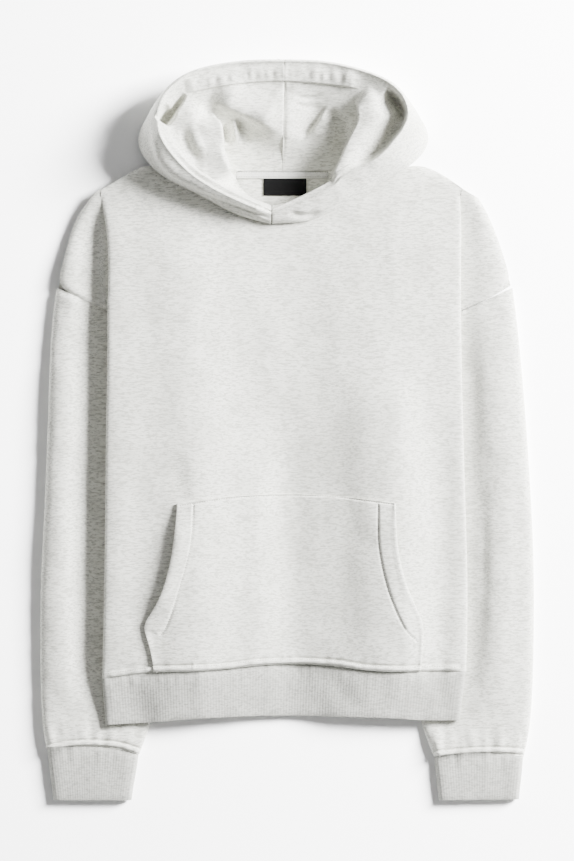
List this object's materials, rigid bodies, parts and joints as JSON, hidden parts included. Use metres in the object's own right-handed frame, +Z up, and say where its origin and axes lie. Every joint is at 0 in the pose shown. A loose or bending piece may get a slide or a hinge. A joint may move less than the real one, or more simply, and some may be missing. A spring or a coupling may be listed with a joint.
{
  "type": "pullover hoodie",
  "caption": "Oversized pullover hoodie laid flat, front up, with an open hood, a kangaroo pocket, dropped shoulders, ribbed cuffs and a ribbed hem band.",
  "frame": {"origin": "under the middle of the garment's box, on the surface that it lies on", "axes": "+Y from the hem towards the hood, +X towards the viewer's right, +Z up out of the front"},
  "size_m": [0.6046, 0.9046, 0.055],
  "materials": {
    "fleece": "light grey melange brushed-back sweatshirt fleece, matt",
    "rib_knit": "light grey melange rib knit, matt",
    "neck_tape": "light grey jersey neck tape, matt",
    "label": "black woven satin, slight sheen, bare"
  },
  "bodies": {
    "root": {"back": "fleece", "front": "fleece", "sleeve_left": "fleece", "sleeve_right": "fleece", "cuff_left": "rib_knit", "cuff_right": "rib_knit", "hem_band": "rib_knit", "pocket": "fleece", "hood_left": "fleece", "hood_right": "fleece", "neck_tape": "neck_tape", "neck_label": "label"}
  },
  "joints": []
}
